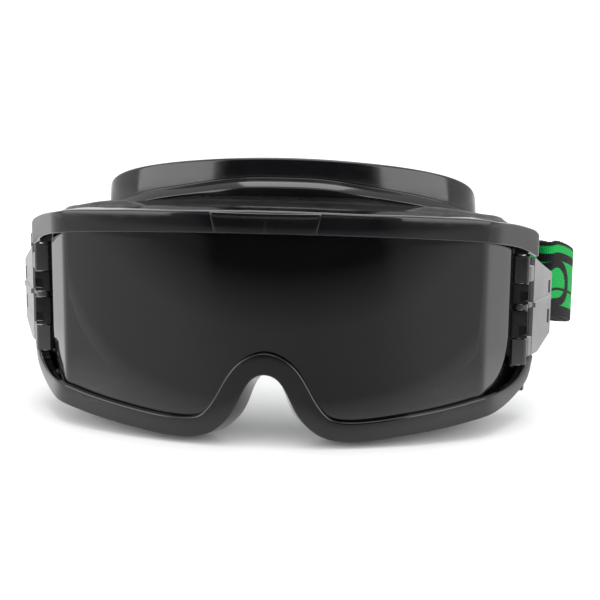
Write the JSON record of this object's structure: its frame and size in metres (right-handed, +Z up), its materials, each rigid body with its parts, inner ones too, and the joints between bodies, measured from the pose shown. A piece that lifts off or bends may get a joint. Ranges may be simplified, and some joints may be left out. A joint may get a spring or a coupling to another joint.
{
  "type": "welding goggles",
  "caption": "Wide-vision welding goggles with a curved dark pane in a glossy rim, soft face body, hinged strap clips and an adjustable woven headband.",
  "frame": {"origin": "centre of the base: middle of the overall width and depth, on the plane the goggles rest on", "axes": "+Z up, -Y the way the wearer looks, +X to the right as seen from the front; the width is along X"},
  "size_m": [0.2116, 0.1847, 0.0888],
  "materials": {
    "rim": "high gloss moulded black",
    "lens": "polished dark welding shade",
    "soft_body": "satin soft PVC",
    "face_lip": "matte soft PVC",
    "hood": "gloss moulded black",
    "filter": "open-cell foam",
    "vent_cover": "satin moulded black",
    "hinge_mount": "satin moulded black",
    "pin": "drawn steel",
    "clip": "semi-gloss grey moulding",
    "webbing": "woven elastic, green and black",
    "slide": "satin moulded black"
  },
  "bodies": {
    "frame": {"front_frame": "rim", "lens": "lens", "soft_skirt": "soft_body", "face_seal": "face_lip", "vent_hood": "hood", "upper_vent_filter": "filter", "lower_vent_cover_left": "vent_cover", "lower_vent_cover_right": "vent_cover", "lower_vent_filter_left": "filter", "lower_vent_filter_right": "filter", "hinge_mount_left": "hinge_mount", "hinge_mount_right": "hinge_mount", "hinge_pin_left": "pin", "hinge_pin_right": "pin", "headband_left": "webbing", "headband_right": "webbing", "headband_back": "webbing", "strap_tail_left": "webbing", "strap_tail_right": "webbing"},
    "clip_right": {"strap_clip_right": "clip"},
    "clip_left": {"strap_clip_left": "clip"},
    "slide_right": {"strap_slide_right": "slide"},
    "slide_left": {"strap_slide_left": "slide"}
  },
  "joints": [
    {"name": "clip_swing_right", "type": "hinge", "parent": "frame", "child": "clip_right", "pos_m": [0.0832, -0.0473, 0.04], "axis": [0, 0, -1], "range_deg": [-4, 35], "deforming": ["headband_right", "strap_tail_right"]},
    {"name": "clip_swing_left", "type": "hinge", "parent": "frame", "child": "clip_left", "pos_m": [-0.0832, -0.0473, 0.04], "axis": [0, 0, 1], "range_deg": [-4, 35], "deforming": ["headband_left", "strap_tail_left"]},
    {"name": "slide_travel_right", "type": "hinge", "parent": "frame", "child": "slide_right", "pos_m": [0.03725, 0.0103, 0.0286], "axis": [0, 0, 1], "range_deg": [-6.5, 6.5]},
    {"name": "slide_travel_left", "type": "hinge", "parent": "frame", "child": "slide_left", "pos_m": [-0.04995, 0.0356, 0.0286], "axis": [0, 0, -1], "range_deg": [-8, 8]}
  ]
}
